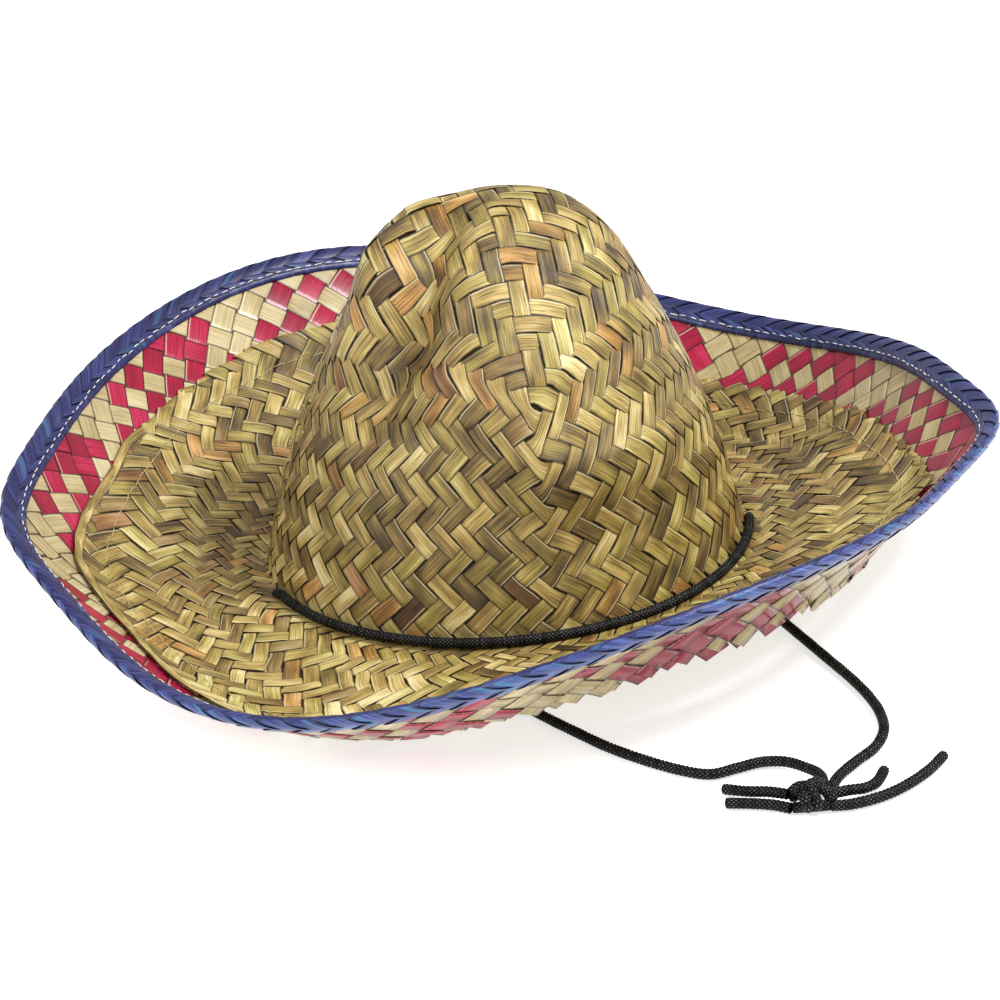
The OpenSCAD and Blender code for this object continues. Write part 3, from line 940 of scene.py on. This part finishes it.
# ---- materials
class Look:
    """A principled material and short ways to add nodes to it."""

    def __init__(self, name):
        self.material = bpy.data.materials.new(name)
        self.material.use_nodes = True
        self.tree = self.material.node_tree
        self.shader = self.tree.nodes["Principled BSDF"]

    def node(self, kind, **inputs):
        """A new node; inputs are named with _ for each space, and may be fields or numbers."""
        node = self.tree.nodes.new("ShaderNode" + kind)
        for name, value in inputs.items():
            self.link(value, node.inputs[name.replace("_", " ")])
        return node

    def link(self, value, socket):
        """Gives a socket a field or a plain value."""
        if isinstance(value, bpy.types.NodeSocket):
            self.tree.links.new(value, socket)
        else:
            socket.default_value = value

    def mark(self, label):
        """A value that the mesh holds at its points."""
        node = self.node("Attribute")
        node.attribute_name = label
        return node.outputs["Fac"]

    def math(self, way, *values):
        node = self.node("Math")
        node.operation = way
        for value, socket in zip(values, node.inputs):
            self.link(value, socket)
        return node.outputs[0]

    def times(self, a, b):
        return self.math("MULTIPLY", a, b)

    def total(self, base, *terms):
        """A number plus each field times its share."""
        for value, share in terms:
            base = self.math("MULTIPLY_ADD", value, share, base)
        return base

    def vector(self, x, y, z):
        return self.node("CombineXYZ", X=x, Y=y, Z=z).outputs[0]

    def noise(self, vector, scale=1.0, detail=2.0, rough=0.5):
        return self.node("TexNoise", Vector=vector, Scale=scale, Detail=detail,
                         Roughness=rough).outputs["Fac"]

    def ramp(self, factor, *stops):
        """Colours along a field."""
        node = self.node("ValToRGB", Fac=factor)
        marks = node.color_ramp.elements
        while len(marks) < len(stops):
            marks.new(0.5)
        for mark, (place, colour) in zip(marks, stops):
            mark.position = place
            mark.color = (*colour, 1)
        return node.outputs["Color"]

    def place(self):
        """The place on the hat, in metres."""
        return self.node("TexCoord").outputs["Object"]

    def near(self, centre, radius):
        """1 near a place, falling to 0 at a radius."""
        away = self.node("VectorMath")
        away.operation = "DISTANCE"
        away.inputs[1].default_value = centre
        self.tree.links.new(self.place(), away.inputs[0])
        return self.between(away.outputs["Value"], radius, radius * 0.3)

    def between(self, value, low, high):
        """Rises gently from 0 to 1 while a field goes from low to high."""
        node = self.node("MapRange", Value=value, From_Min=low, From_Max=high)
        node.interpolation_type = "SMOOTHSTEP"
        return node.outputs["Result"]

    def picked(self, tint, factor, low, high):
        """1 on some of the floats, chosen by a digit of their tint, and 0 on the others."""
        return self.between(self.math("FRACT", self.times(tint, factor)), low, high)

    def mix(self, factor, a, b, way="MIX"):
        """Colour a with a share of colour b laid over it, or multiplied into it."""
        node = self.node("Mix")
        node.data_type = "RGBA"
        node.blend_type = way
        self.link(factor, node.inputs["Factor"])
        for colour, name in ((a, "A"), (b, "B")):
            self.link(colour if isinstance(colour, bpy.types.NodeSocket) else (*colour, 1),
                      node.inputs[name])
        return node.outputs["Result"]

    def darker(self, colour, amount):
        """A colour with an amount of it taken away, which may be a field."""
        left = self.total(1.0, (amount, -1.0))
        return self.mix(1.0, colour, self.vector(left, left, left), "MULTIPLY")

    def bump(self, height, strength, distance):
        node = self.node("Bump", Strength=strength, Distance=distance, Height=height)
        self.tree.links.new(node.outputs["Normal"], self.shader.inputs["Normal"])

    def fix(self, **values):
        """Plain values of the shader, the same all over."""
        for name, value in values.items():
            self.shader.inputs[name.replace("_", " ")].default_value = value

    def finish(self, colour, roughness, specular=0.5):
        self.link(colour, self.shader.inputs["Base Color"])
        self.link(roughness, self.shader.inputs["Roughness"])
        self.fix(Specular_IOR_Level=specular)
        return self.material


def streaks(look, long, wide, shift, *detail):
    """Noise drawn out along a strip, different on each strip."""
    own = look.total(shift, (look.mark("strip"), 91.7))
    return look.noise(look.vector(look.times(look.mark("along"), long),
                                  look.times(look.mark("across"), wide), own), 1.0, *detail)


def fibre_fields(look, fineness):
    """Fine streaks along a strip, and its slow change of tone."""
    return streaks(look, 0.04, fineness, 0.0, 5.0, 0.7), streaks(look, 0.055, 0.5, 0.0, 1.5)


def edge_lines(look, tint):
    """Painted shade along both edges of a strip, where the gaps between strips are, and a painted
    highlight: a pale line inside one of them on some floats.
    """
    across = look.mark("across")
    dark = look.between(look.math("ABSOLUTE", across), 0.82, 0.95)
    pale = look.times(look.between(across, 0.70, 0.78), look.between(across, 0.90, 0.84))
    return dark, look.times(pale, look.picked(tint, 7.3, 0.35, 0.55))


# where each is darker or paler: the middle and the reach of each patch in metres, and how much.
# Straw: painted shade low on the front of the crown, painted light on the brim at the front and front
# left where it lies in shade, a painted highlight on the ridge at the front of the crown, darker at the
# brim's right.
# Palm: darker at the right and at the back, and painted shade on the band under the brim at the front
# right.
STRAW_LIGHT_AND_TONE_PATCHES = (((-0.015, -0.095, 0.055), 0.07, -0.11), ((-0.11, -0.095, 0.01), 0.075, 0.14),
                ((-0.05, -0.15, 0.01), 0.075, 0.14), ((0.15, 0.02, 0.02), 0.09, -0.09),
                ((0.02, -0.07, 0.11), 0.05, 0.13))
PALM_SHADE_AND_TONE_PATCHES = (((0.17, -0.01, 0.06), 0.10, -0.15), ((-0.02, 0.21, 0.06), 0.10, -0.08),
               ((0.10, -0.17, 0.03), 0.15, -0.26))
# floats of another kind: the digit of the tint that picks them, how strong and which colour
STRAW_KINDS = ((13.7, 0.50, 0.62, 0.60, (0.78, 0.87, 0.66)),  # olive
               (29.1, 0.90, 0.92, 0.70, (0.94, 0.58, 0.42)),  # rust
               (47.9, 0.88, 0.90, 0.75, (0.52, 0.42, 0.48)))  # brown


def patched_tone(look, tone, patches):
    """A tone that is paler or darker in some places: painted light and shade in some patches, plain tone
    in others.
    """
    return look.total(tone, *((look.near(centre, radius), amount) for centre, radius, amount in patches))


def straw_material():
    """Dry green-gold rush with olive, rust and brown floats, fine cracks, and dark edges that are painted
    shade, with a painted highlight beside them on some floats.
    """
    look = Look("straw")
    fine, broad = fibre_fields(look, 12.0)
    tint = look.mark("tint")
    # the tone is darker or paler in patches, most of them painted shade, painted light and a painted
    # highlight
    tone = patched_tone(look, look.total(-1.16, (tint, 0.36), (broad, 1.1), (fine, 1.8)), STRAW_LIGHT_AND_TONE_PATCHES)
    colour = look.ramp(tone, (0.08, (0.050, 0.027, 0.008)), (0.32, (0.180, 0.114, 0.027)),
                       (0.5, (0.345, 0.235, 0.058)), (0.68, (0.52, 0.378, 0.108)),
                       (0.92, (0.82, 0.70, 0.37)))
    for factor, low, high, share, kind in STRAW_KINDS:
        colour = look.mix(look.times(look.picked(tint, factor, low, high), share), colour,
                          look.mix(1.0, colour, kind, "MULTIPLY"))
    split = look.math("ABSOLUTE", look.total(-0.5, (streaks(look, 0.02, 4.1, 5.0, 2.0, 0.4), 1.0)))
    crack = look.times(look.between(split, 0.012, 0.0), 0.6)
    edge, pale = edge_lines(look, tint)
    # a painted highlight beside one edge on some floats, then painted shade along both edges
    colour = look.mix(look.times(pale, 0.55), colour, (0.74, 0.65, 0.38))
    colour = look.darker(colour, look.math("MAXIMUM", crack, look.times(edge, 0.85)))
    look.bump(look.total(fine, (crack, -0.8)), 0.6, 0.0005)
    return look.finish(colour, look.total(0.32, (fine, 0.25)), 0.55)


def palm_material():
    """Glossy palm strips, cream where they are natural and crimson where they are dyed."""
    look = Look("palm")
    fine, broad = fibre_fields(look, 5.0)
    tint = look.mark("tint")
    # the tone is darker in patches, one of them painted shade on the band under the brim at the front
    # right
    tone = patched_tone(look, look.total(-0.144, (fine, 0.7), (broad, 0.35), (tint, 0.16)), PALM_SHADE_AND_TONE_PATCHES)
    cream = look.ramp(tone, (0.3, (0.33, 0.25, 0.11)), (0.5, (0.52, 0.42, 0.22)),
                      (0.72, (0.72, 0.62, 0.40)))
    red = look.ramp(tone, (0.3, (0.22, 0.002, 0.020)), (0.5, (0.37, 0.004, 0.040)),
                    (0.75, (0.60, 0.040, 0.115)))
    colour = look.mix(look.mark("dye"), cream, red)
    edge, pale = edge_lines(look, tint)
    # a painted highlight beside one edge on some floats, then painted shade along both edges
    colour = look.mix(look.times(pale, 0.4), colour, (0.80, 0.72, 0.50))
    colour = look.darker(colour, look.times(edge, 0.8))
    look.bump(fine, 0.35, 0.0003)
    look.fix(Coat_Weight=0.12, Coat_Roughness=0.14)
    return look.finish(colour, look.total(0.2, (fine, 0.15)), 0.34)


def binding_material():
    """Blue-violet leaves with touches of turquoise, with a paler copy of the colours on the tiers under
    the rim as painted light.
    """
    look = Look("binding")
    fine, broad = fibre_fields(look, 5.0)
    under = look.between(look.mark("dye"), 2.2, 2.8)
    tone = look.total(-0.2, (fine, 1.0), (broad, 0.3), (look.mark("strip"), 0.1))
    upper = look.ramp(tone, (0.3, (0.006, 0.007, 0.038)), (0.5, (0.018, 0.020, 0.108)),
                      (0.74, (0.068, 0.080, 0.25)))
    # the tiers under the rim get this paler copy of the colours: painted light
    lower = look.ramp(tone, (0.3, (0.014, 0.020, 0.085)), (0.5, (0.036, 0.056, 0.21)),
                      (0.74, (0.12, 0.18, 0.42)))
    touch = look.between(streaks(look, 0.05, 0.8, 3.0, 1.0), 0.60, 0.72)
    colour = look.mix(look.times(touch, look.total(0.2, (under, 0.25))),
                      look.mix(under, upper, lower), (0.06, 0.30, 0.46))
    # painted shade along the edges of each leaf
    edge = look.between(look.math("ABSOLUTE", look.mark("across")), 0.82, 0.97)
    colour = look.darker(colour, look.times(edge, 0.9))
    look.bump(fine, 0.5, 0.0004)
    return look.finish(colour, look.total(0.24, (fine, 0.2)), 0.45)


def plain_material(name, colour, roughness, specular=0.5):
    """One colour with a fine grain."""
    look = Look(name)
    grain = look.noise(look.place(), 900)
    tinted = look.mix(grain, [c * 0.7 for c in colour], [min(1, c * 1.3) for c in colour])
    return look.finish(tinted, roughness, specular)


def cord_material():
    """Black braid with pale glints on some of its ridges."""
    look = Look("cord")
    height = look.mark("height")
    fine = look.noise(look.vector(look.times(look.mark("along"), 1.9), height, 0.0), 1.0, 3.0)
    lit = look.times(look.between(height, 0.72, 1.0), look.between(fine, 0.42, 0.6))
    colour = look.mix(lit, (0.0012, 0.0012, 0.0015), (0.30, 0.30, 0.27))
    look.bump(fine, 0.4, 0.0002)
    return look.finish(colour, 0.5, 0.14)


# ---- the whole hat
make_camera()
make_cords(cord_material())
straw, palm, binding = straw_material(), palm_material(), binding_material()
make_crown(straw)
make_brim(straw)
make_selvage(straw)
# a dark sheet in the middle of the straw: painted shade seen through the gaps between strips
make_gap_shade_sheet(plain_material("straw_gap_shade", (0.030, 0.019, 0.007), 0.9, 0.1))
make_band(palm)
# a dark sheet in the middle of the band: painted shade seen through the gaps between its strips
brim_sheet("band_gap_shade", BAND_START + 0.03, 0.985, lambda *at: -BAND_T / 2 - band_drop(*at),
           plain_material("band_gap_shade", (0.12, 0.05, 0.03), 0.9, 0.1), "palm")
make_binding(binding)
stitch_line("binding_stitches", "binding_seam", "white_thread",
            plain_material("white_thread", (0.75, 0.75, 0.78), 0.6),
            share=lambda angle: from_rim(angle, 8.0), lift=1.62, length=4.2, space=1.0,
            radius=0.25, wander=0.15)
stitch_line("band_stitches", "band_seam", "natural_thread",
            plain_material("natural_thread", (0.50, 0.41, 0.17), 0.7),
            share=lambda angle: np.full(np.shape(angle), 0.645), lift=STRAW_T + 0.05, length=6.0,
            space=1.2, radius=0.2, wander=0.5)
make_studio()
bpy.context.scene.view_settings.view_transform = "Standard"
